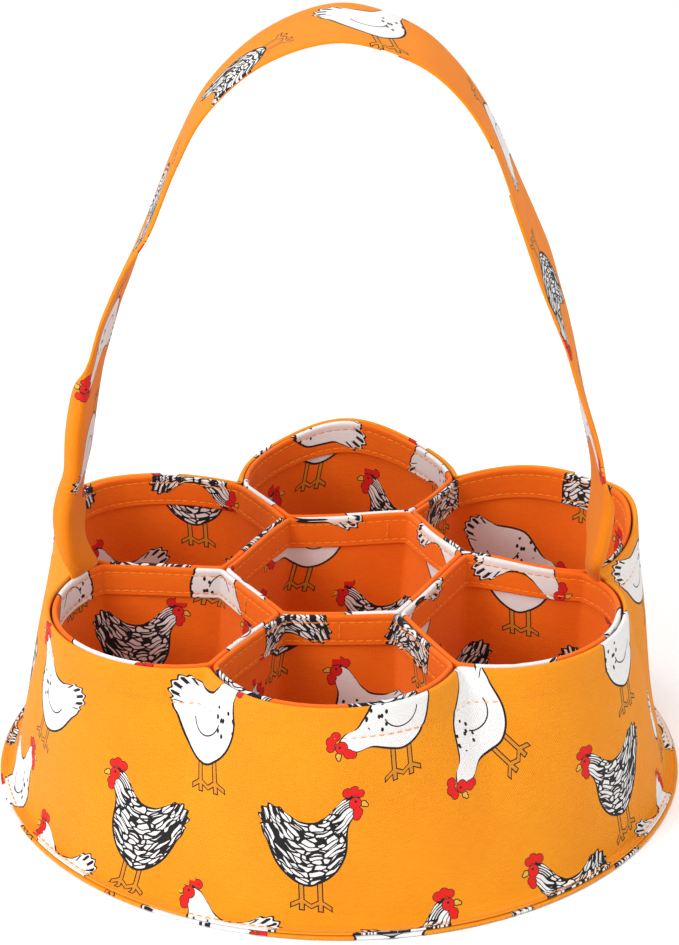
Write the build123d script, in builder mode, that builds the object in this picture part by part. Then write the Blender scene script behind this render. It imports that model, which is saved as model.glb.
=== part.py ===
"""Egg collection basket in printed canvas: seven egg pockets inside a flared wall, a flat base and a strap handle.

Millimetres, +Z up, origin at the centre of the underside, front towards -Y, handle ends on the X axis.
"""

from build123d import *
from math import cos, radians, sin
import os

# Cloth and thread
cloth = 0.8
hem = 2 * cloth
gap = 0.2
thread = 0.35
hem_depth = 10

# Heights, from the ground up
base_panel_top = 1.0
flange_bottom = 1.05
flange_top = 2.05
stiffener_top = 3.0
floor_bottom = 3.05
floor_top = floor_bottom + cloth
pocket_bottom = floor_top + 0.05
rim = 67
hem_bottom = rim - hem_depth

# Radii of the round base
base_radius = 106.8
flange_radius = 106.2
foot_radius = 103
floor_radius = 100.5

# The wall is pinched in at six junctions and bulges out between them: angle in degrees and radius at the rim
pinches = [(0, 78), (60, 75), (120, 71), (180, 77.5), (241, 77), (299, 75)]
lobes = [
    ("back_right", 26.5, 101),
    ("back", 90, 99),
    ("back_left", 152, 98),
    ("front_left", 210, 95),
    ("front", 270, 92),
    ("front_right", 330, 94),
]
pinch_flare = 0.9
lobe_flare = 1.6
# Moving a notch in by this much more keeps the cloth's thickness on its slanting sides
notch_factor = 1.44
wall_levels = [rim, hem_bottom, 46, 33, 20, 10, flange_top, flange_bottom]

# Pockets
hexagon_side = 37.5
hexagon_apothem = hexagon_side * cos(radians(30))
corner_radius = 3.5
hem_rows = (2.3, 8.5)

# Handle
strap_width = 32
strap_thickness = 1.8
hinge_height = 84
strap_half = [(49.5, 198), (67, 148), (78, 110), (79.5, 92), (78.5, 66)]
strap_top = 240
end_depth = 22
end_width = 18
end_middle = 85
end_angles = (0, 180)
end_room = 4
end_share = 0.2
end_face = hem + 0.1
tack_heights = (rim - 5, rim - 17)


def polar(radius, angle):
    return (radius * cos(radians(angle)), radius * sin(radians(angle)))


def wall_radius(rim_radius, height, power):
    """Radius of the wall at a height, running from its rim radius out to the round foot."""
    down = min((rim - height) / (rim - flange_top), 1)
    return rim_radius + (foot_radius - rim_radius) * down**power


def wall_arcs(height, inset):
    """Draws the six arcs of the wall's outline at one height, moved inwards by the inset."""
    for i, (name, lobe_angle, lobe_reach) in enumerate(lobes):
        start_angle, start_radius = pinches[i]
        end_angle, end_radius = pinches[(i + 1) % 6]
        start = wall_radius(start_radius, height, pinch_flare) - notch_factor * inset
        end = wall_radius(end_radius, height, pinch_flare) - notch_factor * inset
        middle = wall_radius(lobe_reach, height, lobe_flare) - inset
        ThreePointArc(polar(start, start_angle), polar(middle, lobe_angle), polar(end, end_angle))


def wall_shape(inset, levels):
    """Solid inside the wall's surface, moved inwards by the inset."""
    with BuildPart() as shape:
        for height in levels:
            with BuildSketch(Plane.XY.offset(height)):
                with BuildLine():
                    wall_arcs(height, inset)
                make_face()
        loft(ruled=True)
    return shape.part


def wall_skin(inside, outside):
    """Layer lying on the outside of the wall, from one distance off its surface to another."""
    with BuildPart() as skin:
        add(wall_shape(-outside, wall_levels))
        add(wall_shape(-inside, wall_levels), mode=Mode.SUBTRACT)
    return skin.part


def outer_pocket_outline(number):
    """Outline of an outer pocket: two dividers, one side of the centre pocket and an arc along the wall.

    At the two side notches it leaves the wall a little early, which makes room for the handle's ends.
    """
    name, lobe_angle, lobe_reach = lobes[number]
    ends = [pinches[number], pinches[(number + 1) % 6]]
    inwards = hem + gap
    notches = [polar(radius - notch_factor * inwards, angle) for angle, radius in ends]
    with BuildSketch() as outline:
        with BuildLine():
            along_wall = ThreePointArc(
                notches[0], polar(lobe_reach - inwards, lobe_angle), notches[1], mode=Mode.PRIVATE
            )
            shares = [0, 1]
            for i, (angle, radius) in enumerate(ends):
                if angle in end_angles:
                    notches[i] = polar(radius - notch_factor * inwards - end_room, angle)
                    shares[i] = abs(i - end_share)
                    Line(notches[i], along_wall @ shares[i])
            add(along_wall.trim(*shares))
            Polyline(
                notches[0],
                polar(hexagon_side, 60 * number),
                polar(hexagon_side, 60 * (number + 1)),
                notches[1],
            )
        make_face()
        fillet(outline.vertices(), corner_radius)
    return outline.sketch


def centre_pocket_outline():
    """Outline of the hexagonal centre pocket."""
    with BuildSketch() as outline:
        RegularPolygon(hexagon_side, 6)
        fillet(outline.vertices(), corner_radius)
    return outline.sketch


def block(outline, inset, bottom, top):
    """Upright block on an outline moved inwards by the inset."""
    with BuildPart() as upright:
        with BuildSketch(Plane.XY.offset(bottom)):
            add(outline)
            offset(amount=-inset)
        extrude(amount=top - bottom)
    return upright.part


def disc(radius, bottom, top, edge):
    """Round panel with softened edges."""
    with BuildPart() as panel:
        with BuildSketch(Plane.XY.offset(bottom)):
            Circle(radius)
        extrude(amount=top - bottom)
        fillet(panel.edges().filter_by(GeomType.CIRCLE), edge)
    return panel.part


def save(part, name):
    part.label = name
    export_step(part, "parts/" + name + ".step")


os.makedirs("parts", exist_ok=True)

# Base panel: the round printed bottom, turned and pressed flat at its edge
save(disc(base_radius, 0, base_panel_top, 0.4), "base_panel")

# Base stiffener: the pad that keeps the bottom flat, closed in between the two round panels
save(disc(floor_radius, flange_bottom, stiffener_top, 0.3), "base_stiffener")

# Floor panel: the inner round cloth that the pockets are sewn to
save(disc(floor_radius, floor_bottom, floor_top, 0.2), "floor_panel")

# Outer wall: one band with a turned hem at the rim, flaring to a flat round flange at the foot
with BuildPart() as outer_wall:
    add(wall_shape(0, wall_levels))
    with BuildSketch(Plane.XY.offset(flange_bottom)):
        Circle(flange_radius)
        Circle(foot_radius - cloth / 2, mode=Mode.SUBTRACT)
    extrude(amount=flange_top - flange_bottom)
    add(wall_shape(hem, wall_levels[:2]), mode=Mode.SUBTRACT)
    add(wall_shape(cloth, wall_levels[1:]), mode=Mode.SUBTRACT)
save(outer_wall.part, "outer_wall")

# Wall hem thread: the row of stitches that holds the wall's hem down
with BuildPart() as wall_hem_thread:
    add(wall_skin(0.05, 0.05 + thread))
    with Locations((0, 0, hem_bottom + 1)):
        Box(2 * base_radius, 2 * base_radius, thread, mode=Mode.INTERSECT)
save(wall_hem_thread.part, "wall_hem_thread")

# Base thread: the row of stitches that joins the wall's flange to the base panel
with BuildPart() as base_thread:
    with BuildSketch(Plane.XY.offset(flange_top + 0.05)):
        Circle(104.8 + thread)
        Circle(104.8, mode=Mode.SUBTRACT)
    extrude(amount=thread)
save(base_thread.part, "base_thread")

# Pockets: seven tubes of cloth, each with a turned hem and two rows of stitches inside it
outlines = {"pocket_centre": centre_pocket_outline()}
for number, (name, angle, reach) in enumerate(lobes):
    outlines["pocket_" + name] = outer_pocket_outline(number)

for name, outline in outlines.items():
    with BuildPart() as pocket:
        add(block(outline, gap / 2, pocket_bottom, rim))
        add(block(outline, gap / 2 + cloth, pocket_bottom, hem_bottom), mode=Mode.SUBTRACT)
        add(block(outline, gap / 2 + hem, hem_bottom, rim), mode=Mode.SUBTRACT)
        fillet(pocket.edges().group_by(Axis.Z)[-1], 0.3)
    save(pocket.part, name)

    with BuildPart() as rows:
        for depth in hem_rows:
            face = gap / 2 + hem + 0.05
            add(block(outline, face, rim - depth - thread, rim - depth))
            add(block(outline, face + thread, rim - depth - thread, rim - depth), mode=Mode.SUBTRACT)
    save(rows.part, name + "_hem_thread")

# Pocket foot threads: the stitches that hold the seven tubes down on the floor panel
with BuildPart() as pocket_foot_threads:
    for outline in outlines.values():
        face = gap / 2 + cloth + 0.05
        add(block(outline, face, pocket_bottom + 2, pocket_bottom + 2 + thread))
        add(block(outline, face + thread, pocket_bottom + 2, pocket_bottom + 2 + thread), mode=Mode.SUBTRACT)
save(pocket_foot_threads.part, "pocket_foot_threads")

# Junction threads: upright stitches where three pockets meet
with BuildPart() as junction_threads:
    with BuildSketch(Plane.XY.offset(rim - 24)):
        with PolarLocations(hexagon_side, 6):
            Circle(thread)
    extrude(amount=22)
save(junction_threads.part, "junction_threads")

# Pocket seam threads: the upright seam that closes each tube, seen on its hem between the two rows
seam_top = rim - hem_rows[0] - 0.1 - thread
seam_length = hem_rows[1] - hem_rows[0] - 0.2 - thread
seam_offset = gap / 2 + hem + 0.05 + thread / 2
with BuildPart() as pocket_seam_threads:
    with Locations((12, hexagon_apothem - seam_offset, seam_top - seam_length / 2)):
        Box(thread, thread, seam_length)
    with Locations((0, 0, seam_top - seam_length / 2)):
        with PolarLocations(hexagon_apothem + seam_offset, 6, start_angle=30):
            Box(thread, thread, seam_length)
save(pocket_seam_threads.part, "pocket_seam_threads")

# Handle strap: a flat turned tube arched over the basket, its ends rounded so that they clear the rim in the swing
with BuildPart() as handle_strap:
    with BuildSketch(Plane.XZ):
        with BuildLine():
            left_half = [(-x, z) for x, z in reversed(strap_half)]
            Spline(*left_half, (0, strap_top - strap_thickness / 2), *strap_half)
        trace(line_width=strap_thickness)
    extrude(amount=strap_width / 2, both=True)
    with BuildSketch(Plane.YZ):
        with Locations((0, hinge_height)):
            Circle(strap_width / 2)
        with Locations((0, hinge_height + 100)):
            Rectangle(strap_width, 200)
    extrude(amount=120, both=True, mode=Mode.INTERSECT)
save(handle_strap.part, "handle_strap")

# Handle ends: the strap's two ends, folded lengthwise and held between the wall's side notches and the pockets
# Handle tacks: the two rows of stitches through the wall that hold each end
for name, side in (("left", -1), ("right", 1)):
    with BuildPart() as handle_end:
        add(wall_shape(end_face, wall_levels[:4]))
        add(wall_shape(end_face + strap_thickness, wall_levels[:4]), mode=Mode.SUBTRACT)
        with Locations((side * end_middle, 0, rim - end_depth / 2)):
            Box(30, end_width, end_depth, mode=Mode.INTERSECT)
    save(handle_end.part, "handle_end_" + name)

    with BuildPart() as handle_tack:
        with Locations(*[(side * end_middle, 0, height) for height in tack_heights]):
            Box(30, end_width - 4, thread)
        add(wall_skin(0.05, 0.05 + thread), mode=Mode.INTERSECT)
    save(handle_tack.part, "handle_tack_" + name)
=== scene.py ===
"""Looks of the egg collection basket: sewn canvas printed with hens, seven egg pockets and a strap handle.

Shapes are worked out in millimetres in the part's frame and written to the meshes in metres.
"""

import math

import bpy
import numpy as np
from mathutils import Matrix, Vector


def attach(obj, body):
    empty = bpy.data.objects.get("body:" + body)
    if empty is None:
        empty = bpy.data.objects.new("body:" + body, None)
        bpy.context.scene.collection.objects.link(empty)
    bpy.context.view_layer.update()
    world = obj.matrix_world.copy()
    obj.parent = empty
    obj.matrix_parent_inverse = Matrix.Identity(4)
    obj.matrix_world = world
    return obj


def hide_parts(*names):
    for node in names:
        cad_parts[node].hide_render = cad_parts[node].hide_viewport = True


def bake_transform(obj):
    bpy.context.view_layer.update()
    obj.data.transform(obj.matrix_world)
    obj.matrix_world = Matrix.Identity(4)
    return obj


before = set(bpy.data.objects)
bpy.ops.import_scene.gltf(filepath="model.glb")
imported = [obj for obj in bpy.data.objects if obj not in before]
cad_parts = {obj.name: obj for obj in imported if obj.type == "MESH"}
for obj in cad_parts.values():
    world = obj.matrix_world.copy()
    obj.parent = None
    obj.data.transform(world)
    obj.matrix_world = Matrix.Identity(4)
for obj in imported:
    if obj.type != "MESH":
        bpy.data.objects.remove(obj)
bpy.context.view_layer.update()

# Sizes shared with the CAD
RIM = 67
POCKET_BOTTOM = 3.9
FLOOR_TOP = 3.85
FLOOR_BOTTOM = 3.05
FLOOR_RADIUS = 100.5
BASE_TOP = 1.0
FLANGE_TOP = 2.05
FLANGE_BOTTOM = 1.05
FOOT_RADIUS = 103
FLANGE_RADIUS = 106.2
BASE_RADIUS = 106.8
HEXAGON_SIDE = 37.5
CLOTH = 0.8
HEM = 1.6
HEM_DEPTH = 10
POCKET_ROWS = (2.3, 8.5)
WALL_ROW = 9
FLANGE_ROW_RADIUS = 104.9
PINCHES = [(0, 78), (60, 75), (120, 71), (180, 77.5), (241, 77), (299, 75)]
LOBES = [
    ("back_right", 26.5, 101),
    ("back", 90, 99),
    ("back_left", 152, 98),
    ("front_left", 210, 95),
    ("front", 270, 92),
    ("front_right", 330, 94),
]
STRAP_WIDTH = 32
STRAP_THICKNESS = 1.8
END_ANGLES = (0, 180)
TACK_HEIGHTS = (62, 50)
TACK_REACH = 7
JUNCTION_LOW = 43
JUNCTION_HIGH = 66

# Sizes of the looks alone: pocket corners, their room at the wall, and where the wall's cloth is measured
CORNER_SPREAD = 1.3
END_ROOM = 0.8
NOTCH_INSET = 2.8
LOBE_INSET = 2
FLANGE_WIDTH = FLANGE_RADIUS - FOOT_RADIUS
WALL_DROP = 65
WALL_MIDDLE = 30
POCKET_DROP = 62.9

# How finely outlines and the strap are drawn
WALL_ARC_POINTS = 110
POCKET_ARC_POINTS = 100
POCKET_POINTS = 240
TRIMMED_POINTS = 6
STRAP_ROWS = 330
STRAP_PLACES = 129
STRAP_COLUMNS = 56

# The print: pitch of its rows and of the hens in a row, and the furthest that a hen's outline reaches
HEN_ROW_PITCH = 33
HEN_PITCH = 54
HEN_REACH = 20

# Texture units for each millimetre of cloth
UV_PER_MM = 0.1

# How the cloth hangs away from its pattern at the rim: where (x, y), and by how much (x, y, z).
# Each shift fades over SLACK_REACH aside, and over FREE_ABOVE above the rim
SLACK_REACH = 15
FREE_ABOVE = 45
SLACK = [
    ((-37.5, 0), (2.0, -2.0, 0)),
    ((-18.8, 32.5), (1.0, 1.5, 0)),
    ((18.8, 32.5), (3.0, 4.0, 1.0)),
    ((37.5, 0), (1.0, 5.0, 1.5)),
    ((18.8, -32.5), (-1.0, 1.5, 0)),
    ((-18.8, -32.5), (1.5, 0, 0)),
    ((-35.5, 61.5), (2.0, -2.5, 0)),
    ((78, 0), (1.0, -2.5, 0)),
    ((0, 99), (0, 1.0, 5.0)),
    ((93, 42), (1.5, 0, 5.0)),
    ((62, 64), (0, -2.5, 4.0)),
    ((-84, 46), (1.0, 0, 4.0)),
    ((-58, 62), (0, -4.0, 2.5)),
]


# ---------------------------------------------------------------- outlines


def polar(radius, degrees):
    """The point (x, y) at a radius in a compass direction, counter-clockwise from +X."""
    return np.array([radius * math.cos(math.radians(degrees)), radius * math.sin(math.radians(degrees))])


def walked_along(points):
    """Distance walked along an open line to each of its points."""
    return np.concatenate([[0], np.cumsum(np.linalg.norm(np.diff(points, axis=0), axis=1))])


def points_at(at, walked, points):
    """The places on a line after walking these distances."""
    return np.stack([np.interp(at, walked, points[:, k]) for k in range(points.shape[1])], -1)


def arc(start, middle, end, count):
    """Points on the arc from start towards end that bulges as far as middle. The end itself is left out."""
    chord = end - start
    half = np.linalg.norm(chord) / 2
    along = chord / (2 * half)
    outward = np.array([along[1], -along[0]])
    bulge = (middle - start) @ outward
    radius = (half**2 + bulge**2) / (2 * bulge)
    reach = math.atan2(half, radius - bulge)
    turn = np.linspace(-reach, reach, count, endpoint=False)[:, None]
    centre = (start + end) / 2 - outward * (radius - bulge)
    return centre + outward * radius * np.cos(turn) + along * radius * np.sin(turn)


def smooth_ring(ring, spread):
    """Closed outline with its corners rounded off over about that many millimetres."""
    step = np.linalg.norm(np.roll(ring, -1, 0) - ring, axis=1).mean()
    wave = np.fft.fftfreq(len(ring), step) * 2 * math.pi
    softened = np.fft.fft(ring[:, 0] + 1j * ring[:, 1]) * np.exp(-((wave * spread) ** 2) / 2)
    back = np.fft.ifft(softened)
    return np.stack([back.real, back.imag], 1)


def even_ring(corners, count):
    """Closed outline walked in equal steps."""
    closed = np.vstack([corners, corners[:1]])
    walked = walked_along(closed)
    return points_at(np.linspace(0, walked[-1], count, endpoint=False), walked, closed)


def outward(ring):
    """Unit normals of a closed counter-clockwise outline."""
    along = np.roll(ring, -1, 0) - np.roll(ring, 1, 0)
    along /= np.linalg.norm(along, axis=1)[:, None]
    return np.stack([along[:, 1], -along[:, 0]], 1)


def level_normals(ring):
    """Outward normals of an outline as level 3-D directions."""
    return np.column_stack([outward(ring), np.zeros(len(ring))])


def wall_radius(rim_radius, height, power):
    """Radius of the wall at a height, running from its rim radius out to the round foot."""
    down = min(max((RIM - height) / (RIM - FLANGE_TOP), 0), 1)
    return rim_radius + (FOOT_RADIUS - rim_radius) * down**power


def wall_ring(height):
    """Outline of the outer wall at a height: six arcs whose notches soften on the way down."""
    arcs = []
    for number, (_, angle, reach) in enumerate(LOBES):
        start_angle, start_radius = PINCHES[number]
        end_angle, end_radius = PINCHES[(number + 1) % 6]
        start = polar(wall_radius(start_radius, height, 0.9), start_angle)
        end = polar(wall_radius(end_radius, height, 0.9), end_angle)
        middle = polar(wall_radius(reach, height, 1.6), angle)
        arcs.append(arc(start, middle, end, WALL_ARC_POINTS))
    return smooth_ring(np.vstack(arcs), 0.45 + 0.08 * (RIM - height))


def pocket_ring(name):
    """Outline of one pocket, outside its cloth, with room for the handle's ends at the side notches."""
    if name == "centre":
        corners = np.array([polar(HEXAGON_SIDE - 0.1, 60 * side) for side in range(6)])
        return smooth_ring(even_ring(corners, POCKET_POINTS), CORNER_SPREAD)
    number = [lobe[0] for lobe in LOBES].index(name)
    angle, reach = LOBES[number][1:]
    ends = [PINCHES[number], PINCHES[(number + 1) % 6]]
    notches = [polar(radius - NOTCH_INSET, turn) for turn, radius in ends]
    along_wall = arc(notches[0], polar(reach - LOBE_INSET, angle), notches[1], POCKET_ARC_POINTS)
    if ends[0][0] in END_ANGLES:
        along_wall = along_wall[TRIMMED_POINTS:]
    if ends[1][0] in END_ANGLES:
        along_wall = along_wall[:-TRIMMED_POINTS]
    for i, (turn, radius) in enumerate(ends):
        if turn in END_ANGLES:
            notches[i] = polar(radius - NOTCH_INSET - END_ROOM, turn)
    inner = [polar(HEXAGON_SIDE, 60 * (number + 1)), polar(HEXAGON_SIDE, 60 * number)]
    corners = np.vstack([notches[:1], along_wall, notches[1:], inner])
    ring = smooth_ring(even_ring(corners, POCKET_POINTS), CORNER_SPREAD)
    return ring - outward(ring) * 0.15


# ---------------------------------------------------------------- how cloth moves


def ripple(along, seed, wavelengths):
    """Smooth uneven wave of about one unit, the same each run."""
    rng = np.random.default_rng(seed)
    total = np.zeros_like(along)
    for wavelength in wavelengths:
        wave = np.sin(along * 2 * math.pi / wavelength + rng.uniform(0, 2 * math.pi))
        total = total + wave * rng.uniform(0.6, 1)
    return total / len(wavelengths)


def hang(points):
    """Moves cloth points as the loose canvas hangs. Neighbours share the move, so none cuts into another."""
    x, y, z = points[..., 0], points[..., 1], points[..., 2]
    rise = np.clip(z / RIM, 0, 1) ** 1.5 * np.clip(1 - (z - RIM) / FREE_ABOVE, 0, 1)
    moved = points.copy()
    for (at_x, at_y), shift in SLACK:
        near = np.exp(-((x - at_x) ** 2 + (y - at_y) ** 2) / (2 * SLACK_REACH**2)) * rise
        moved += near[..., None] * np.array(shift)
    # A slight waviness in all three directions
    moved[..., 0] += 0.5 * rise * np.sin(y / 11 + 0.8) * np.cos(z / 23 + x / 37)
    moved[..., 1] += 0.5 * rise * np.sin(x / 12 + 2.1) * np.cos(z / 19 + y / 31)
    moved[..., 2] += 0.5 * rise * np.sin(x / 17 + 0.4) * np.sin(y / 15 + 1.3)
    return moved


def ring_surface(ring, height, offset):
    """Closed line of 3-D points: the outline pushed out by the offset, at a height, hanging as cloth does."""
    flat = ring + outward(ring) * np.reshape(offset, (-1, 1))
    return hang(np.column_stack([flat, np.full(len(flat), float(height))]))


# ---------------------------------------------------------------- meshes


def new_object(name, vertices, faces):
    """Object with a smooth-shaded mesh, from vertices in millimetres."""
    mesh = bpy.data.meshes.new(name)
    mesh.from_pydata([tuple(v) for v in np.asarray(vertices) * 0.001], [], faces)
    mesh.shade_smooth()
    obj = bpy.data.objects.new(name, mesh)
    bpy.context.scene.collection.objects.link(obj)
    return obj


def sheet_object(name, rows, across, down, hens, wrap=0.0):
    """Closed skin over rows of points. rows: (rows, columns, 3), closed both ways.

    across and down give the flat cloth position of each column and row in millimetres.
    Where down jumps from one row to the next, the strip between them belongs to the second.
    """
    rows = np.asarray(rows)
    row_count, column_count = rows.shape[:2]
    longest_strip = 12
    strip_after_jump = 2
    down_before = np.array(down)
    down_after = np.roll(down_before, -1)
    jump = np.abs(down_after - down_before) > longest_strip
    down_before[jump] = down_after[jump] - strip_after_jump
    across_after = np.append(across[1:], wrap)
    faces = []
    flat = []
    for r in range(row_count):
        here = r * column_count
        below = (r + 1) % row_count * column_count
        for c in range(column_count):
            c2 = (c + 1) % column_count
            faces.append((here + c, here + c2, below + c2, below + c))
            flat.append((across[c], -down_before[r]))
            flat.append((across_after[c], -down_before[r]))
            flat.append((across_after[c], -down_after[r]))
            flat.append((across[c], -down_after[r]))
    obj = new_object(name, rows.reshape(-1, 3), faces)
    write_print(obj, np.array(flat), hens, wrap)
    return obj


def write_print(obj, flat, hens, wrap=0.0):
    """Stores where each face corner lies on the flat cloth, and within the hen printed nearest its face.

    flat: one (across, up) for each face corner, in millimetres.
    hens: rows of (across, up, kind, facing, tilt). Kind 1 is white, 2 barred and 3 white and pecking.
    wrap: length after which the cloth meets itself, or 0 where it doesn't.
    """
    uv = obj.data.uv_layers.new(name="cloth")
    uv.data.foreach_set("uv", (flat * UV_PER_MM).reshape(-1).astype(np.float32))
    starts = np.zeros(len(obj.data.polygons), np.int32)
    obj.data.polygons.foreach_get("loop_start", starts)
    sizes = np.diff(np.append(starts, len(flat)))
    middles = np.add.reduceat(flat, starts, axis=0) / sizes[:, None]
    hens = np.asarray(hens, float)
    apart = middles[:, None] - hens[None, :, :2]
    if wrap:
        apart[..., 0] -= wrap * np.round(apart[..., 0] / wrap)
    nearest = np.argmin((apart**2).sum(-1), 1)
    shift = apart[np.arange(len(middles)), nearest] - middles
    own = np.repeat(hens[nearest], sizes, axis=0)
    local = flat + np.repeat(shift, sizes, axis=0)
    cos = np.cos(own[:, 4])
    sin = np.sin(own[:, 4])
    x = (local[:, 0] * cos + local[:, 1] * sin) * own[:, 3]
    y = local[:, 1] * cos - local[:, 0] * sin
    hen = obj.data.attributes.new("hen", "FLOAT_VECTOR", "CORNER")
    hen.data.foreach_set("vector", np.column_stack([x, y, own[:, 2]]).reshape(-1).astype(np.float32))


def hen_rows(width, top, bottom, seed, first=1):
    """Print laid out as on the bolt of cloth: staggered rows, white and barred in turn, from the top down."""
    rng = np.random.default_rng(seed)
    hens = []
    for row, up in enumerate(np.arange(top, bottom, -HEN_ROW_PITCH)):
        count = max(round(width / HEN_PITCH), 1)
        for column in range(count):
            barred = (row + first) % 2 == 0
            kind = 2 if barred else (3 if column % 3 == 1 else 1)
            facing = 1 if (column + row) % 2 else -1
            across = (column + 0.5 * (row % 2) + 0.25) * width / count + rng.uniform(-3, 3)
            hens.append((across, up + rng.uniform(-2, 2), kind, facing, rng.uniform(-0.12, 0.12)))
    return hens


def stitches(line, normals, pitch=2.7, length=2.1, radius=0.19, closed=True):
    """Vertices and faces of a row of stitches along a line, each a short bulging piece of thread.

    A stitch has five six-sided sections: place along it, thickness, and height over the cloth.
    """
    ends = np.vstack([line, line[:1]]) if closed else line
    walked = walked_along(ends)
    count = int(walked[-1] / pitch)
    centres = (np.arange(count) + 0.5) * walked[-1] / count
    normals = np.vstack([normals, normals[:1]]) if closed else normals
    vertices, faces = [], []
    look_ahead = 0.3
    sections = [(-0.5, 0.35, -0.7), (-0.34, 0.85, -0.1), (0, 1, 0.3), (0.34, 0.85, -0.1), (0.5, 0.35, -0.7)]
    for centre in centres:
        first = len(vertices)
        for place, swell, lift in sections:
            at = centre + place * length
            spot = points_at(at % walked[-1], walked, ends)
            ahead = points_at((at + look_ahead) % walked[-1], walked, ends)
            normal = points_at(at % walked[-1], walked, normals)
            along = ahead - spot
            side = np.cross(normal, along)
            side /= np.linalg.norm(side) + 1e-9
            for corner in range(6):
                turn = corner * math.pi / 3
                up = normal * (lift + swell * math.sin(turn))
                vertices.append(spot + (up + side * swell * math.cos(turn)) * radius)
        for section in range(len(sections) - 1):
            for corner in range(6):
                a = first + section * 6 + corner
                b = first + section * 6 + (corner + 1) % 6
                faces.append((a, b, b + 6, a + 6))
        faces.append(tuple(first + corner for corner in range(5, -1, -1)))
        last = len(vertices) - 6
        faces.append(tuple(last + corner for corner in range(6)))
    return vertices, faces


def thread_object(name, node, runs):
    """One object from several rows of stitches, taking the place of the CAD's thread."""
    vertices, faces = [], []
    for run_vertices, run_faces in runs:
        faces += [tuple(index + len(vertices) for index in face) for face in run_faces]
        vertices += run_vertices
    obj = new_object(name, vertices, faces)
    obj.data.materials.append(thread_material)
    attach(obj, "basket")
    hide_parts(node)


# ---------------------------------------------------------------- materials


def node_tools(tree):
    """Short ways to link sockets and to add shader nodes. Each adding one returns the new node's output."""

    def link(value, socket):
        if isinstance(value, bpy.types.NodeSocket):
            tree.links.new(value, socket)
        else:
            socket.default_value = value

    def math_node(operation, a, b=0.0, c=0.0):
        node = tree.nodes.new("ShaderNodeMath")
        node.operation = operation
        for value, socket in zip((a, b, c), node.inputs):
            link(value, socket)
        return node.outputs[0]

    def vector_node(operation, a, b=(0, 0, 0)):
        node = tree.nodes.new("ShaderNodeVectorMath")
        node.operation = operation
        link(a, node.inputs[0])
        link(b, node.inputs[1])
        return node.outputs["Value" if operation in ("LENGTH", "DISTANCE") else "Vector"]

    def scaled(a, factor):
        node = tree.nodes.new("ShaderNodeVectorMath")
        node.operation = "SCALE"
        link(a, node.inputs[0])
        link(factor, node.inputs["Scale"])
        return node.outputs[0]

    def mix(factor, a, b):
        node = tree.nodes.new("ShaderNodeMix")
        node.data_type = "RGBA"
        link(factor, node.inputs[0])
        link(a, node.inputs[6])
        link(b, node.inputs[7])
        return node.outputs[2]

    def noise(scale, detail, at):
        node = tree.nodes.new("ShaderNodeTexNoise")
        node.inputs["Scale"].default_value = scale
        node.inputs["Detail"].default_value = detail
        link(at, node.inputs["Vector"])
        return node

    return link, math_node, vector_node, scaled, mix, noise


def rounded_outline(tree, turn, points):
    """Distance from a hen's middle to its outline, as a share of HEN_REACH, for each direction.

    turn: the direction, from 0 to 1. points: (degrees, millimetres).
    """
    node = tree.nodes.new("ShaderNodeFloatCurve")
    curve = node.mapping.curves[0]
    curve.points[0].location = (0, points[0][1] / HEN_REACH)
    curve.points[1].location = (1, points[0][1] / HEN_REACH)
    for degrees, reach in points[1:]:
        curve.points.new(degrees / 360, reach / HEN_REACH)
    node.mapping.update()
    tree.links.new(turn, node.inputs["Value"])
    return node.outputs[0]


# Outlines of the printed hens, seen from their middle: breast, head, back, tail, belly
STANDING_HEN = [
    (0, 9.6), (20, 10.2), (35, 11.6), (44, 14.8), (50, 18.3), (56, 19.4), (62, 18.4), (68, 14.2), (78, 9.8),
    (95, 8.2), (112, 8.8), (126, 12.0), (136, 17.0), (146, 18.2), (156, 16.4), (166, 14.6), (180, 12.0),
    (205, 10.6), (235, 10.2), (258, 10.6), (270, 10.8), (290, 10.0), (320, 9.4), (340, 9.3),
]
PECKING_HEN = [
    (0, 13.2), (10, 11.0), (28, 9.6), (55, 9.2), (85, 8.8), (110, 9.8), (124, 13.0), (134, 17.6), (144, 18.6),
    (154, 16.6), (166, 13.6), (185, 11.0), (215, 10.0), (245, 9.8), (270, 9.8), (295, 9.4), (320, 10.4),
    (334, 15.0), (342, 18.0), (348, 18.8), (354, 17.6),
]

# Where the scalloped tail lies on both outlines, in turns: its middle and half its width
TAIL = (0.402, 0.042)

# Colours of the print, and a darker white for the gaps between threads, which is painted shade
BLACK = (0.012, 0.010, 0.012, 1)
WHITE = (0.86, 0.85, 0.84, 1)
WHITE_GAP_PAINTED_SHADE = (0.50, 0.45, 0.42, 1)
LEG_YELLOW = (0.66, 0.24, 0.012, 1)
BEAK_YELLOW = (0.75, 0.42, 0.05, 1)
COMB_RED = (0.72, 0.012, 0.010, 1)


def draw_legs(tree, colour, x, y, depth):
    """Two slanting legs under the bird, each ending in a foot with three toes."""
    _, calc, _, _, mix, _ = node_tools(tree)
    slant = calc("MULTIPLY_ADD", y, 0.12, x)
    left_leg = calc("ABSOLUTE", calc("ADD", slant, 3.2))
    right_leg = calc("ABSOLUTE", calc("SUBTRACT", slant, 2.0))
    near_leg = calc("MINIMUM", left_leg, right_leg)
    toe_line = calc("ABSOLUTE", calc("ADD", calc("MULTIPLY_ADD", near_leg, 0.6, y), 15.4))
    under = calc("GREATER_THAN", depth, 0)

    def legs(thickness):
        """Where a leg or foot of this thickness is drawn."""
        down_leg = calc("COMPARE", y, -13.4, 4.2 + thickness)
        shin = calc("MULTIPLY", calc("LESS_THAN", near_leg, thickness), down_leg)
        foot = calc("LESS_THAN", near_leg, 2.4 + thickness)
        toes = calc("MULTIPLY", foot, calc("LESS_THAN", toe_line, thickness))
        return calc("MULTIPLY", calc("MAXIMUM", shin, toes), under)

    colour = mix(legs(0.85), colour, BLACK)
    return mix(legs(0.5), colour, LEG_YELLOW)


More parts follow.
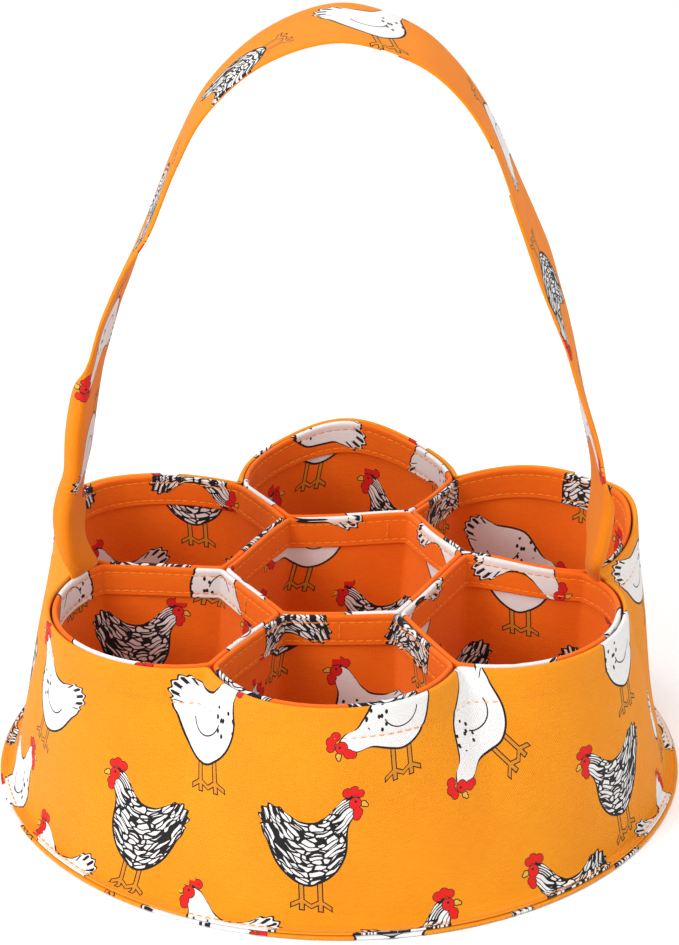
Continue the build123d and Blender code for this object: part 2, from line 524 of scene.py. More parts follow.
def draw_head(tree, colour, flat_hen, pecking):
    """Comb, wattle, red face, beak and eye, turned down on a pecking bird."""
    link, calc, vec, scaled, mix, _ = node_tools(tree)
    head_at = vec("ADD", (10.2, 14.6, 0), scaled((7.0, -18.2, 0), pecking))
    nod = tree.nodes.new("ShaderNodeVectorRotate")
    link(vec("SUBTRACT", flat_hen, head_at), nod.inputs["Vector"])
    link(pecking, nod.inputs["Angle"])
    head = nod.outputs[0]

    def spot(at, radius):
        """How far outside a round spot on the head this point is."""
        return calc("SUBTRACT", vec("DISTANCE", head, at), radius)

    comb = calc("MINIMUM", spot((-1.6, 3.1, 0), 1.3), spot((0.4, 3.7, 0), 1.35))
    comb = calc("MINIMUM", comb, spot((2.1, 3.1, 0), 1.1))
    wattle = calc("MINIMUM", spot((1.9, -2.4, 0), 1.3), spot((1.7, -3.7, 0), 1.0))
    face = spot((0.9, 0.2, 0), 1.7)
    beak = calc("MINIMUM", spot((3.4, 0.1, 0), 0.75), spot((4.2, -0.3, 0), 0.45))
    colour = mix(calc("LESS_THAN", beak, 0.3), colour, BLACK)
    colour = mix(calc("LESS_THAN", beak, 0.0), colour, BEAK_YELLOW)
    red = calc("MINIMUM", calc("MINIMUM", comb, wattle), face)
    colour = mix(calc("LESS_THAN", red, 0.22), colour, BLACK)
    colour = mix(calc("LESS_THAN", red, 0.0), colour, COMB_RED)
    return mix(calc("LESS_THAN", spot((1.0, 0.7, 0), 0.36), 0.0), colour, BLACK)


def draw_hens(tree, orange, height):
    """The cloth's colour with its hens. The weave's height shows in their white too, as painted shade in the
    gaps between threads.
    """
    link, calc, vec, _, mix, noise = node_tools(tree)

    # Where this point lies within the nearest hen
    place = tree.nodes.new("ShaderNodeAttribute")
    place.attribute_name = "hen"
    hen = place.outputs["Vector"]
    own = tree.nodes.new("ShaderNodeSeparateXYZ")
    link(hen, own.inputs[0])
    x, y, kind = own.outputs
    flat_hen = vec("MULTIPLY", hen, (1, 1, 0))
    barred = calc("COMPARE", kind, 2, 0.5)
    pecking = calc("COMPARE", kind, 3, 0.5)

    # Which way this point lies from the bird's middle, and how far outside its outline
    turn = calc("FRACT", calc("DIVIDE", calc("ARCTAN2", y, x), 2 * math.pi))
    reach = vec("LENGTH", flat_hen)
    standing = rounded_outline(tree, turn, STANDING_HEN)
    stooping = rounded_outline(tree, turn, PECKING_HEN)
    edge = calc("MULTIPLY_ADD", pecking, calc("SUBTRACT", stooping, standing), standing)
    tail = calc("COMPARE", turn, *TAIL)
    tail_wave = calc("SINE", calc("MULTIPLY", turn, 300))
    scallop = calc("MULTIPLY", calc("MULTIPLY", tail_wave, 0.55), tail)
    depth = calc("SUBTRACT", reach, calc("MULTIPLY_ADD", edge, HEN_REACH, scallop))

    # Feathers: barred hens have light feathers edged black, white ones have flecks, a wing and tail bars
    wander = noise(0.25, 0.0, flat_hen)
    swept = tree.nodes.new("ShaderNodeCombineXYZ")
    curl = calc("MULTIPLY", calc("MULTIPLY", x, x), 0.06)
    link(calc("MULTIPLY", x, 0.27), swept.inputs[0])
    link(calc("MULTIPLY", calc("SUBTRACT", y, curl), 0.74), swept.inputs[1])
    feather = tree.nodes.new("ShaderNodeTexVoronoi")
    feather.feature = "DISTANCE_TO_EDGE"
    feather.inputs["Scale"].default_value = 1.0
    uneven = vec("MULTIPLY", wander.outputs["Color"], (1.2, 1.6, 0))
    link(vec("ADD", swept.outputs[0], uneven), feather.inputs["Vector"])
    bars = calc("LESS_THAN", feather.outputs[0], 0.13)
    # The white is painted darker in the gaps between threads: painted shade
    white = mix(calc("MULTIPLY_ADD", height, -0.16, 0.2), WHITE, WHITE_GAP_PAINTED_SHADE)
    fleck = tree.nodes.new("ShaderNodeTexVoronoi")
    fleck.inputs["Scale"].default_value = 1.0
    link(vec("MULTIPLY", flat_hen, (0.62, 0.42, 1)), fleck.inputs["Vector"])
    on_breast = calc("LESS_THAN", vec("DISTANCE", flat_hen, (5.2, 1.5, 0)), 4.6)
    flecks = calc("MULTIPLY", calc("LESS_THAN", fleck.outputs[0], 0.3), on_breast)
    in_tail = calc("MULTIPLY", tail, calc("COMPARE", depth, -2.4, 1.5))
    tail_bars = calc("MULTIPLY", calc("GREATER_THAN", tail_wave, 0.2), in_tail)
    from_wing = vec("DISTANCE", flat_hen, (-1.5, 2.2, 0))
    wing = calc("MULTIPLY", calc("COMPARE", from_wing, 5.6, 0.2), calc("LESS_THAN", y, 0.6))
    marks = calc("MAXIMUM", calc("MAXIMUM", flecks, tail_bars), wing)
    dark = calc("MULTIPLY_ADD", barred, calc("SUBTRACT", bars, marks), marks)
    plumage = mix(dark, white, BLACK)
    inside = calc("LESS_THAN", depth, 0)
    colour = mix(inside, orange, plumage)

    # Legs, the bird's outline and its head go on top
    colour = draw_legs(tree, colour, x, y, depth)
    outline = calc("COMPARE", depth, 0, 0.33)
    colour = draw_head(tree, mix(outline, colour, BLACK), flat_hen, pecking)
    return mix(calc("GREATER_THAN", kind, 0.5), orange, colour)


def make_canvas(name, deep, bright, painted_gap_shade):
    """Canvas with its weave, printed with hens: two tones of dye, and a darker colour for the gaps between
    the threads that is painted shade.
    """
    material = bpy.data.materials.new(name)
    material.use_nodes = True
    tree = material.node_tree
    shader = tree.nodes["Principled BSDF"]
    link, calc, vec, scaled, mix, noise = node_tools(tree)

    flat_place = tree.nodes.new("ShaderNodeUVMap")
    flat_place.uv_map = "cloth"
    cloth = scaled(flat_place.outputs[0], 1 / UV_PER_MM)
    split = tree.nodes.new("ShaderNodeSeparateXYZ")
    link(cloth, split.inputs[0])
    across, down = split.outputs[0], split.outputs[1]

    # Plain weave: warp and weft bulge in turn, with uneven threads
    pitch = 0.8
    warp = calc("SINE", calc("MULTIPLY", across, 2 * math.pi / pitch))
    weft = calc("SINE", calc("MULTIPLY", down, 2 * math.pi / pitch))
    weave = calc("MULTIPLY_ADD", calc("MULTIPLY", warp, weft), 0.5, 0.5)
    slub = noise(1.0, 1.0, vec("MULTIPLY", cloth, (0.25, 2.2, 1)))
    height = calc("MULTIPLY_ADD", slub.outputs[0], 0.5, weave)

    # Dye: slow changes of tone. The gaps between threads get a darker colour: painted shade
    cloud = noise(0.045, 3.0, cloth)
    orange = mix(calc("MULTIPLY_ADD", height, -0.7, 0.75), mix(cloud.outputs[0], deep, bright), painted_gap_shade)
    link(draw_hens(tree, orange, height), shader.inputs["Base Color"])

    bump = tree.nodes.new("ShaderNodeBump")
    bump.inputs["Strength"].default_value = 0.7
    bump.inputs["Distance"].default_value = 0.0003
    link(height, bump.inputs["Height"])
    link(bump.outputs[0], shader.inputs["Normal"])
    link(calc("MULTIPLY_ADD", height, -0.12, 0.86), shader.inputs["Roughness"])
    shader.inputs["Specular IOR Level"].default_value = 0.18
    shader.inputs["Sheen Weight"].default_value = 0.06
    shader.inputs["Sheen Roughness"].default_value = 0.5
    return material


def make_thread():
    """Orange sewing thread with its twist. The twist's grooves are painted darker: painted shade."""
    material = bpy.data.materials.new("thread")
    material.use_nodes = True
    tree = material.node_tree
    shader = tree.nodes["Principled BSDF"]
    link, calc, _, _, mix, _ = node_tools(tree)
    place = tree.nodes.new("ShaderNodeTexCoord")
    twist = tree.nodes.new("ShaderNodeTexWave")
    twist.bands_direction = "DIAGONAL"
    twist.inputs["Scale"].default_value = 900
    twist.inputs["Distortion"].default_value = 1.5
    link(place.outputs["Object"], twist.inputs["Vector"])
    # Darker colour in the twist's grooves: painted shade
    strands = mix(twist.outputs["Fac"], (0.84, 0.21, 0.006, 1), (0.94, 0.34, 0.02, 1))
    link(strands, shader.inputs["Base Color"])
    bump = tree.nodes.new("ShaderNodeBump")
    bump.inputs["Strength"].default_value = 0.4
    bump.inputs["Distance"].default_value = 0.0001
    link(twist.outputs["Fac"], bump.inputs["Height"])
    link(bump.outputs[0], shader.inputs["Normal"])
    link(calc("MULTIPLY_ADD", twist.outputs["Fac"], 0.15, 0.5), shader.inputs["Roughness"])
    return material


def make_felt():
    """Pale needle felt."""
    material = bpy.data.materials.new("felt")
    material.use_nodes = True
    tree = material.node_tree
    shader = tree.nodes["Principled BSDF"]
    link, calc, _, _, mix, noise = node_tools(tree)
    place = tree.nodes.new("ShaderNodeTexCoord")
    fibres = noise(700, 5, place.outputs["Object"])
    link(mix(fibres.outputs[0], (0.70, 0.69, 0.66, 1), (0.88, 0.87, 0.84, 1)), shader.inputs["Base Color"])
    link(calc("MULTIPLY_ADD", fibres.outputs[0], 0.2, 0.75), shader.inputs["Roughness"])
    return material


# Deep and bright tone of the dye, and the painted shade of the gaps between the threads. The pocket cloth has
# redder, darker tones as painted shade and red bounce light inside the basket; the strap's redder tones are
# painted shade for its shaded side
DYES_AND_PAINTED_SHADE = {
    "printed_canvas": ((0.86, 0.27, 0.003, 1), (0.89, 0.37, 0.007, 1), (0.66, 0.12, 0.0, 1)),
    "pocket_canvas": ((0.96, 0.16, 0.002, 1), (0.98, 0.22, 0.004, 1), (0.72, 0.04, 0.0, 1)),
    "strap_canvas": ((0.90, 0.23, 0.002, 1), (0.94, 0.32, 0.005, 1), (0.68, 0.09, 0.0, 1)),
}
canvas = {slot: make_canvas(slot, *tones) for slot, tones in DYES_AND_PAINTED_SHADE.items()}
thread_material = make_thread()
felt_material = make_felt()


def finish_cloth(obj, slot, node):
    """Gives a piece of cloth its material and its place in the frame."""
    obj.data.materials.append(canvas[slot])
    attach(obj, "basket")
    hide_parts(node)


# ---------------------------------------------------------------- outer wall


def groove(depth, rows):
    """How far a row of stitches pulls the cloth in, at a depth below the rim."""
    return sum(0.22 * math.exp(-(((depth - row) / 0.55) ** 2)) for row in rows)


def fold_over(depths_outside, stitch_rows):
    """Rows (height, offset, down) over a turned rim: up the outside, round the fold, down the hem inside."""
    rows = [(RIM - depth, 0.0, depth) for depth in depths_outside]
    for turn in np.linspace(0, math.pi, 9)[1:-1]:
        height = RIM - HEM / 2 * (1 - math.sin(turn))
        rows.append((height, -HEM / 2 * (1 - math.cos(turn)), HEM / 2 - turn * HEM / 2))
    for depth in np.concatenate([np.arange(1.0, HEM_DEPTH - 0.3, 0.45), [HEM_DEPTH - 0.2]]):
        rows.append((RIM - depth, -HEM + groove(depth, stitch_rows), -depth))
    rows.append((RIM - HEM_DEPTH, -HEM + 0.15, -HEM_DEPTH - 0.1))
    rows.append((RIM - HEM_DEPTH - 0.15, -CLOTH - 0.15, -HEM_DEPTH - 0.4))
    rows.append((RIM - HEM_DEPTH - 0.4, -CLOTH, -HEM_DEPTH - 0.7))
    return rows


def wall_surface(height, offset):
    """Closed line of 3-D points round the wall at a height, pushed out by the offset."""
    return ring_surface(wall_ring(height), height, offset)


def walked_across(line):
    """Distance walked along a closed line of points, column by column, and its whole length."""
    steps = np.linalg.norm(np.roll(line, -1, 0) - line, axis=1)
    return np.concatenate([[0], np.cumsum(steps)[:-1]]), steps.sum()


def wall_tucks(across):
    """Small uneven tucks along the stitches of the wall's hem."""
    return ripple(across, 3, (7.1, 9.7, 13.3, 5.3))


def flange_line(height, reach, rise, lift):
    """Closed line on the flange, pushed out and raised where the flange lifts."""
    line = wall_surface(height, reach + 0.2 * lift)
    line[:, 2] += lift * 0.25 * rise
    return line


def flange_lift(across, around):
    """How much the flange lifts off the ground around the foot, about 0 to 1."""
    return 0.5 + 0.5 * ripple(across, 9, (around / 2, around / 3))


def outer_wall():
    """The wall's cloth: the flange's top, the outside, the rim, the hem, the inside and the flange's edge."""
    across, around = walked_across(wall_surface(WALL_MIDDLE, 0))
    rows, downs = [], []
    outside = np.concatenate([np.arange(62, 14, -1.8), np.arange(13.2, 0.8, -0.5)])
    tucks = wall_tucks(across)
    drape = 1.2 + 1.5 * ripple(across, 21, (around / 9, around / 14, around / 5))
    lift = flange_lift(across, around)

    def billow(depth):
        """How far the wall's cloth swells out at a depth below the rim."""
        return drape * math.sin(math.pi * depth / WALL_DROP) ** 2

    for reach in np.linspace(0.3, FLANGE_WIDTH - 0.5, 5)[::-1]:
        groove_here = 0.2 * math.exp(-(((FOOT_RADIUS + reach - FLANGE_ROW_RADIUS) / 0.5) ** 2))
        line = flange_line(FLANGE_TOP, reach, reach / FLANGE_WIDTH, lift)
        line[:, 2] -= groove_here
        rows.append(line)
        downs.append(WALL_DROP + reach)
    for depth in outside:
        puff = 0.12 * math.sin(math.pi * min(depth / WALL_ROW, 1)) - groove(depth, [WALL_ROW])
        pucker = 0.16 * math.exp(-(((depth - WALL_ROW) / 4.0) ** 2)) * tucks
        rows.append(wall_surface(RIM - depth, puff + pucker + billow(depth)))
        downs.append(depth)
    for height, offset, down in fold_over([], []):
        rows.append(wall_surface(height, offset))
        downs.append(down)
    for depth in np.arange(13, 62, 6.0):
        rows.append(wall_surface(RIM - depth, -CLOTH + billow(depth)))
        downs.append(-depth)
    for height, reach in ((FLANGE_TOP, -CLOTH), (FLANGE_BOTTOM + 0.1, -CLOTH + 0.1), (FLANGE_BOTTOM, 0.3)):
        rows.append(wall_surface(height, reach))
        downs.append(-WALL_DROP - 1)
    for height, short in ((FLANGE_BOTTOM, 0.6), (FLANGE_BOTTOM + 0.15, 0.15), (FLANGE_BOTTOM + 0.5, 0),
                          (FLANGE_TOP - 0.15, 0.15)):
        rows.append(flange_line(height, FLANGE_WIDTH - short, 1, lift))
        downs.append(WALL_DROP + 5)
    hens = wall_hens(across)
    obj = sheet_object("outer_wall_canvas", rows, across, np.array(downs), hens, around)
    finish_cloth(obj, "printed_canvas", "outer_wall")


# Hens on the wall: compass direction in degrees, height, kind, facing, tilt
WALL_HENS = [
    (209, 46, 1, -1, -0.2), (245, 55, 1, 1, 0.1), (281, 63, 3, -1, 0.2), (299, 54, 3, -1, 0.8),
    (333, 60, 1, -1, 0.1), (234, 19, 2, -1, 0.0), (266.5, 25, 2, 1, -0.08), (327.5, 22, 2, -1, 0.2),
    (354, 24, 1, 1, 0.0), (180, 24, 2, 1, 0.1), (196, 5, 1, 1, 0.1), (218, -8, 1, -1, 0.2),
    (252, -8, 1, -1, 0.0), (283, -10, 2, 1, 0.1), (312, -6, 2, -1, 0.0), (340, -8, 1, 1, 0.0),
    (12, 55, 3, 1, 0.1), (40, 56, 1, -1, -0.1), (70, 54, 1, 1, 0.1), (100, 57, 3, -1, 0.0),
    (128, 55, 1, 1, 0.0), (158, 55, 1, -1, 0.1), (25, 24, 2, -1, 0.0), (55, 25, 2, 1, 0.1),
    (85, 24, 2, -1, -0.1), (115, 26, 2, 1, 0.0), (145, 25, 2, -1, 0.1), (10, -7, 1, 1, 0.1),
    (70, -8, 1, -1, 0.0), (130, -7, 1, 1, 0.0), (170, -8, 2, -1, 0.0),
]


def wall_hens(across):
    """The wall's printed hens by their place on the flat cloth."""
    ring = wall_surface(WALL_MIDDLE, 0)
    compass = np.degrees(np.arctan2(ring[:, 1], ring[:, 0])) % 360
    hens = []
    for degrees, height, kind, facing, tilt in WALL_HENS:
        column = np.argmin(np.abs((compass - degrees + 180) % 360 - 180))
        hens.append((across[column], height - RIM, kind, facing, tilt))
    return hens


# ---------------------------------------------------------------- pockets


def pocket(name, seed):
    """One pocket with its hem's stitches. Gives back the stitches at its foot."""
    ring = pocket_ring(name)

    def surface(height, offset):
        """Closed line of 3-D points round this pocket at a height, pushed out by the offset."""
        return ring_surface(ring, height, offset)

    across, around = walked_across(surface(50, 0))
    tucks = ripple(across, seed, (6.3, 8.9, 12.1, 4.7))

    def pucker(depth):
        """How far the hem's stitches tuck the cloth at a depth below the rim."""
        return 0.14 * tucks * math.exp(-(((depth - 5.5) / 5) ** 2))

    rows, downs = [], []
    outside = np.concatenate([np.arange(POCKET_DROP, 2, -5.0), [0.9]])
    for height, offset, down in fold_over(outside, POCKET_ROWS):
        if offset < -HEM / 2:
            offset = offset + pucker(RIM - height)
        rows.append(surface(height, offset))
        downs.append(down)
    slack = 0.35 * ripple(across, seed + 50, (31, 47, 23))
    for depth in list(np.arange(12.5, 62, 2.5)) + [POCKET_DROP]:
        rows.append(surface(RIM - depth, -CLOTH + slack * math.exp(-(((depth - 14) / 30) ** 2))))
        downs.append(depth)
    hens = hen_rows(around, 4 - 5 * (seed % 3), -70, seed, first=seed % 2)
    obj = sheet_object("pocket_" + name + "_canvas", rows, across, np.array(downs), hens, around)
    # The pocket cloth's redder, darker tones are painted shade and red bounce light of the basket's inside
    finish_cloth(obj, "pocket_canvas", "pocket_" + name)

    inward = -level_normals(ring)
    runs = []
    for depth in POCKET_ROWS:
        line = surface(RIM - depth, -HEM + pucker(depth) + 0.05)
        runs.append(stitches(line, inward))
    thread_object("pocket_" + name + "_stitches", "pocket_" + name + "_hem_thread", runs)
    return stitches(surface(POCKET_BOTTOM + 2.2, -CLOTH - 0.1), inward)


def wall_stitches():
    """The row round the wall's hem and the row round its flange."""
    across, around = walked_across(wall_surface(WALL_MIDDLE, 0))
    line = wall_surface(RIM - WALL_ROW, 0.16 * wall_tucks(across) - 0.08)
    outside = level_normals(wall_ring(RIM - WALL_ROW))
    thread_object("wall_hem_stitches", "wall_hem_thread", [stitches(line, outside)])

    reach = FLANGE_ROW_RADIUS - FOOT_RADIUS
    line = flange_line(FLANGE_TOP, reach, reach / FLANGE_WIDTH, flange_lift(across, around))
    line[:, 2] -= 0.1
    up = np.tile([0.0, 0.0, 1.0], (len(line), 1))
    thread_object("base_stitches", "base_thread", [stitches(line, up)])


def upright_run(place, low, high, facing):
    """Upright row of stitches at a place (x, y)."""
    line = np.array([(place[0], place[1], z) for z in np.linspace(low, high, 12)])
    normals = np.tile([facing[0], facing[1], 0.0], (len(line), 1))
    return stitches(hang(line), normals, closed=False)


def sewn_seams():
    """Upright seams on the pocket hems and at the junctions, and the rows that hold the handle's ends."""
    apothem = HEXAGON_SIDE * math.cos(math.radians(30))
    low, high = RIM - POCKET_ROWS[1] + 0.4, RIM - POCKET_ROWS[0] - 0.3
    seams = [upright_run((12, apothem - 2.0), low, high, (0, -1))]
    junctions = []
    for side in range(6):
        facing = polar(1, 30 + 60 * side)
        seams.append(upright_run(facing * (apothem + 2.0), low, high, facing))
        place = polar(HEXAGON_SIDE, 60 * side)
        junctions.append(upright_run(place, JUNCTION_LOW, JUNCTION_HIGH, polar(1, 60 * side)))
    sewn = {"pocket_seam_threads": seams, "junction_threads": junctions}
    for name, side in (("left", -1), ("right", 1)):
        runs = []
        for height in TACK_HEIGHTS:
            ring = wall_ring(height)
            line = ring_surface(ring, height, 0.05)
            facing = level_normals(ring)
            near = (np.abs(ring[:, 1]) < TACK_REACH) & (ring[:, 0] * side > 0)
            order = np.argsort(ring[near, 1])
            runs.append(stitches(line[near][order], facing[near][order], closed=False))
        sewn["handle_tack_" + name] = runs
    for node, runs in sewn.items():
        thread_object(node + "_stitches", node, runs)


# ---------------------------------------------------------------- base


def disc_object(name, radius, bottom, top, seed):
    """Round panel of cloth with a turned, rounded edge."""
    turns = np.linspace(0, 2 * math.pi, 360, endpoint=False)
    edge = (top - bottom) / 2
    profile = [(r, top) for r in np.linspace(2, radius - edge, 42)]
    for turn in np.linspace(0.5, 2.6, 5):
        profile.append((radius - edge + edge * math.sin(turn), bottom + edge + edge * math.cos(turn)))
    profile += [(r, bottom) for r in np.linspace(radius - edge, 2, 30)]
    around = radius * 2 * math.pi
    uneven = 0.25 * ripple(turns * radius, seed, (around / 2, around / 3, around / 7))
    vertices = [(0, 0, top)]
    for reach, height in profile:
        spread = reach + uneven * (reach / radius) ** 6
        vertices += list(zip(spread * np.cos(turns), spread * np.sin(turns), np.full(len(turns), height)))
    vertices.append((0, 0, bottom))
    count = len(turns)
    faces = [(0, 1 + c, 1 + (c + 1) % count) for c in range(count)]
    for r in range(len(profile) - 1):
        for c in range(count):
            a, b = 1 + r * count + c, 1 + r * count + (c + 1) % count
            faces.append((a, a + count, b + count, b))
    last = 1 + (len(profile) - 1) * count
    faces += [(last + (c + 1) % count, last + c, len(vertices) - 1) for c in range(count)]
    obj = new_object(name, vertices, faces)
    flat = np.array([vertices[corner][:2] for face in faces for corner in face])
    hens = np.array(hen_rows(2 * radius, radius - 10, -radius, seed)) - np.array([radius, 0, 0, 0, 0])
    write_print(obj, flat, hens)
    return obj


# ---------------------------------------------------------------- handle


def smooth_path(points, count):
    """Evenly spaced points on a smooth curve through the given ones."""
    points = np.array(points, float)
    before = np.vstack([2 * points[0] - points[1], points, 2 * points[-1] - points[-2]])
    curve = []
    for i in range(len(points) - 1):
        a, b, c, d = before[i:i + 4]
        for t in np.linspace(0, 1, 40, endpoint=False):
            bend = (2 * a - 5 * b + 4 * c - d) * t**2 + (3 * b - a - 3 * c + d) * t**3
            curve.append(0.5 * (2 * b + (c - a) * t + bend))
    curve = np.vstack([curve, points[-1:]])
    walked = walked_along(curve)
    return points_at(np.linspace(0, walked[-1], count), walked, curve)


# The strap from its left end over the top to its right end: its middle (x, z), which way its cloth runs
# (degrees from +Y outwards), how far its front part is folded back (degrees), where that fold runs across it
STRAP_PATH = [
    (-77.5, 58, 30, 60, -10), (-79.5, 66, 15, 100, -11), (-81.0, 71, 0, 125, -11),
    (-81.2, 77, -4, 138, -10.5), (-81.6, 86, -4, 138, -10), (-80.2, 94, -4, 138, -10.5),
    (-78.2, 102, -4, 138, -11.5), (-76.8, 115, -6, 135, -11.5), (-74.4, 128, -6, 130, -12),
    (-72.2, 136, -7, 125, -15), (-68.6, 149, -8, 110, -19), (-65.2, 158, -8, 80, -23),
    (-61.2, 168, -6, 0, -24), (-58.4, 174, -3, 0, -24), (-54.6, 182, 0, 0, -24),
    (-47.2, 200.5, 0, 0, -24), (-37.6, 218, 0, 0, -24), (-21, 233, 1, 0, -24),
    (0, 240, 3, 0, -24), (20, 234.6, 2, 0, -24), (33, 224.5, 0, 0, -24),
    (43.5, 209, 0, 0, -24), (52.5, 187, 3, 0, -24), (57.2, 175, 5, 0, -24),
    (60.8, 165.5, 6, 0, -24), (64.4, 155, 4, 0, -24), (67.8, 145, 2, 60, -24),
    (71.2, 132, 0, 120, -22), (75.2, 116, -6, 130, -20), (77.8, 103, -6, 140, -17),
    (78.8, 94, -5, 145, -14), (78.2, 85, -3, 150, -13), (76.8, 77, -2, 150, -13),
    (75.2, 71, 0, 145, -13), (74.8, 66, 0, 120, -13), (75.3, 58, 0, 60, -12),
]
# How sharply the front part folds over, in millimetres, and the play between the strap's ends and the wall
FOLD_WIDTH = 1.3
END_PLAY = 0.15
# Heights of the rows in the ends, below where the path starts
STRAP_ENDS = np.arange(46, 59, 2.4)
# Share of the strap's width that each end takes up along the wall, and between which heights it settles there
END_SPREAD = {-1: 0.8, 1: 0.45}
END_SETTLES = {-1: (64, 80), 1: (64, 77)}


def strap_end_line(side, height, places):
    """The strap's middle surface low down, lying against the inside of the wall around a side notch."""
    ring = wall_ring(min(height, RIM))
    ring = ring - outward(ring) * (HEM + END_PLAY + STRAP_THICKNESS / 2)
    half = np.array(sorted((point for point in ring if point[0] * side > 40), key=lambda point: point[1]))
    walked = walked_along(half)
    walked -= walked[np.argmin(np.abs(half[:, 1]))]
    spread = points_at(places * END_SPREAD[side], walked, half)
    return np.column_stack([spread, np.full(len(places), float(height))])


def strap_line(x, z, run, fold, crease, outside, places):
    """The strap's middle surface across its width, at one place along it."""
    turn = np.radians(run - fold / 2 * (1 - np.tanh((places - crease) / FOLD_WIDTH)))
    step = places[1] - places[0]
    back = np.cumsum(np.cos(turn)) * step
    out = np.cumsum(np.sin(turn)) * step
    back -= back.mean()
    out -= out.mean()
    return np.array([x, 0, z]) + back[:, None] * np.array([0, 1.0, 0]) + out[:, None] * outside


# Hens on the strap: distance along it, distance across it, kind, facing, tilt
STRAP_HENS = [
    (62, -6, 1, -1, 1.4), (105, 3, 1, 1, 1.7), (150, -2, 2, 1, 1.2), (196, -8, 2, -1, 1.9),
    (238, 2, 1, 1, 0.2), (290, 8, 1, -1, -1.3), (335, -6, 2, 1, -1.5), (380, 0, 1, -1, -1.4),
]


def strap():
    """The strap and its two ends as one flat tube of cloth."""
    places = np.linspace(-STRAP_WIDTH / 2, STRAP_WIDTH / 2, STRAP_PLACES)
    path = smooth_path(STRAP_PATH, STRAP_ROWS)
    centre = np.column_stack([path[:, 0], np.zeros(len(path)), path[:, 1]])
    along = np.gradient(centre, axis=0)
    along /= np.linalg.norm(along, axis=1)[:, None]
    outside = np.cross(along, np.array([0, 1.0, 0]))
    lines = [strap_end_line(-1, z, places) for z in STRAP_ENDS[:-1]]
    directions = [np.array([0, 0, 1.0])] * len(lines)
    for i, (x, z, run, fold, crease) in enumerate(path):
        line = strap_line(x, z, run, fold, crease, outside[i], places)
        side = 1 if x > 0 else -1
        low, high = END_SETTLES[side]
        free = np.clip((z - low) / (high - low), 0, 1)
        free = free * free * (3 - 2 * free)
        if free < 1:
            line = line * free + strap_end_line(side, z, places) * (1 - free)
        lines.append(line)
        directions.append(along[i])
    lines += [strap_end_line(1, z, places) for z in STRAP_ENDS[-2::-1]]
    directions += [np.array([0, 0, -1.0])] * (len(STRAP_ENDS) - 1)
    lines = np.array(lines)

    turn = np.linspace(0, 2 * math.pi, STRAP_COLUMNS, endpoint=False)
    width = STRAP_WIDTH / 2 * np.sign(np.cos(turn)) * np.abs(np.cos(turn)) ** 0.8
    thick = STRAP_THICKNESS / 2 * np.sign(np.sin(turn)) * np.abs(np.sin(turn)) ** 0.45
    rows = []
    for line, direction in zip(lines, directions):
        tangent = np.gradient(line, axis=0)
        tangent /= np.linalg.norm(tangent, axis=1)[:, None]
        normal = np.cross(direction, tangent)
        normal /= np.linalg.norm(normal, axis=1)[:, None]
        rows.append(points_at(width, places, line) + points_at(width, places, normal) * thick[:, None])
    rows = hang(np.array(rows))
    steps = walked_along(lines[:, len(places) // 2])
    faces = []
    flat = []
    for r in range(len(rows) - 1):
        here = r * STRAP_COLUMNS
        there = here + STRAP_COLUMNS
        for c in range(STRAP_COLUMNS):
            c2 = (c + 1) % STRAP_COLUMNS
            faces.append((here + c, here + c2, there + c2, there + c))
            face_side = 1 if c < STRAP_COLUMNS // 2 else -1
            for row, column in ((r, c), (r, c2), (r + 1, c2), (r + 1, c)):
                flat.append((steps[row], width[column] * face_side))
    last = (len(rows) - 1) * STRAP_COLUMNS
    faces.append(tuple(range(STRAP_COLUMNS - 1, -1, -1)))
    faces.append(tuple(last + c for c in range(STRAP_COLUMNS)))
    obj = new_object("handle_strap_canvas", rows.reshape(-1, 3), faces)
    flat = np.vstack([np.reshape(flat, (-1, 2)), np.zeros((2 * STRAP_COLUMNS, 2))])
    write_print(obj, flat, STRAP_HENS)
    # The strap cloth's redder tones are painted shade for its shaded side
    obj.data.materials.append(canvas["strap_canvas"])
    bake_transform(obj)
    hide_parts("handle_strap", "handle_end_left", "handle_end_right")


# ---------------------------------------------------------------- build

outer_wall()
wall_stitches()

pocket_names = ["centre"] + [lobe[0] for lobe in LOBES]
foot_runs = [pocket(name, 11 + number) for number, name in enumerate(pocket_names)]
thread_object("pocket_foot_stitches", "pocket_foot_threads", foot_runs)

base = disc_object("base_panel_canvas", BASE_RADIUS, 0, BASE_TOP, 31)
finish_cloth(base, "printed_canvas", "base_panel")
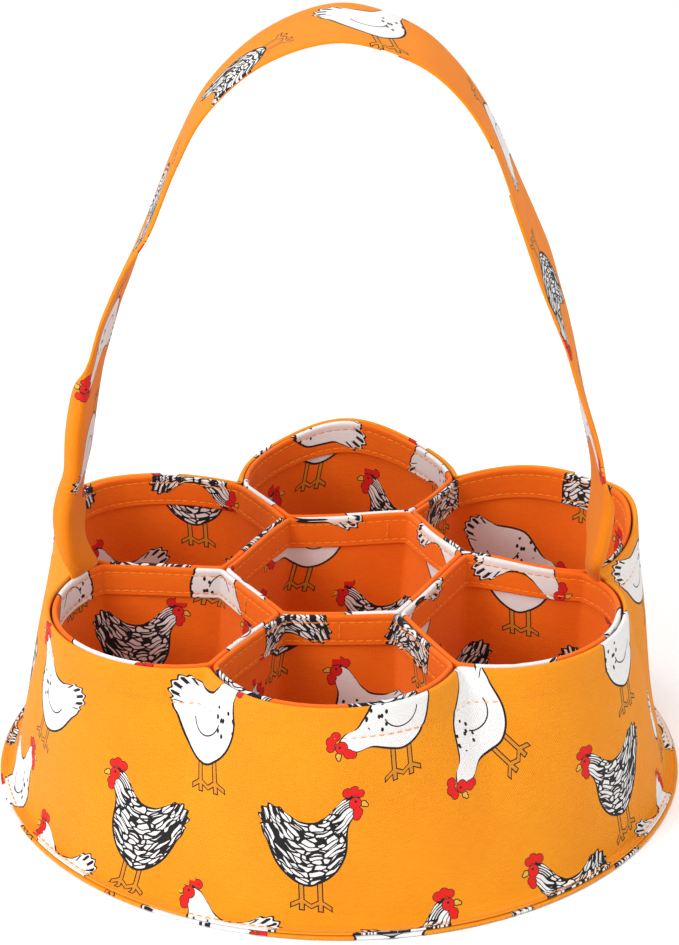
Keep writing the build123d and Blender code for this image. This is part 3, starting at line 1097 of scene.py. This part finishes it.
# The floor inside takes the pocket cloth's redder, darker tones: painted shade and red bounce light
floor_cloth = disc_object("floor_panel_canvas", FLOOR_RADIUS, FLOOR_BOTTOM, FLOOR_TOP, 32)
finish_cloth(floor_cloth, "pocket_canvas", "floor_panel")

strap()
sewn_seams()

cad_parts["base_stiffener"].data.materials.clear()
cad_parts["base_stiffener"].data.materials.append(felt_material)

# ---------------------------------------------------------------- floor, light and camera


def make_ground():
    """The pale floor that the basket stands on."""
    material = bpy.data.materials.new("pale_floor")
    material.use_nodes = True
    shader = material.node_tree.nodes["Principled BSDF"]
    shader.inputs["Base Color"].default_value = (0.95, 0.95, 0.95, 1)
    shader.inputs["Roughness"].default_value = 0.9
    bpy.ops.mesh.primitive_plane_add(size=12, location=(0, 0, -0.0002))
    ground = bpy.context.object
    ground.name = "ground"
    ground.data.materials.append(material)


def area_light(name, place, size, power):
    """White square light that faces the basket. Metres and watts."""
    light = bpy.data.lights.new(name, "AREA")
    light.size = size
    light.energy = power
    obj = bpy.data.objects.new(name, light)
    obj.location = place
    obj.rotation_euler = (Vector((0, 0, 0.08)) - Vector(place)).to_track_quat("-Z", "Y").to_euler()
    bpy.context.scene.collection.objects.link(obj)


make_ground()
area_light("key", (-1.0, -0.8, 0.9), 0.6, 16)
area_light("fill", (1.0, -0.9, 0.8), 1.0, 5)
area_light("top", (-0.1, 0.2, 1.5), 1.0, 11)

world = bpy.data.worlds.new("studio")
world.use_nodes = True
sky = world.node_tree.nodes["Background"]
sky.inputs["Color"].default_value = (1, 1, 1, 1)
sky.inputs["Strength"].default_value = 0.58
bpy.context.scene.world = world
bpy.context.scene.view_settings.view_transform = "Standard"

camera = bpy.data.cameras.new("camera")
camera.sensor_fit = "VERTICAL"
camera.sensor_height = 24
camera.lens = 81.346
camera_object = bpy.data.objects.new("camera", camera)
camera_object.location = (0.0139, -0.8826, 0.5091)
camera_object.rotation_euler = (math.radians(90 - 24.95), 0, math.radians(0.9))
bpy.context.scene.collection.objects.link(camera_object)
bpy.context.scene.camera = camera_object
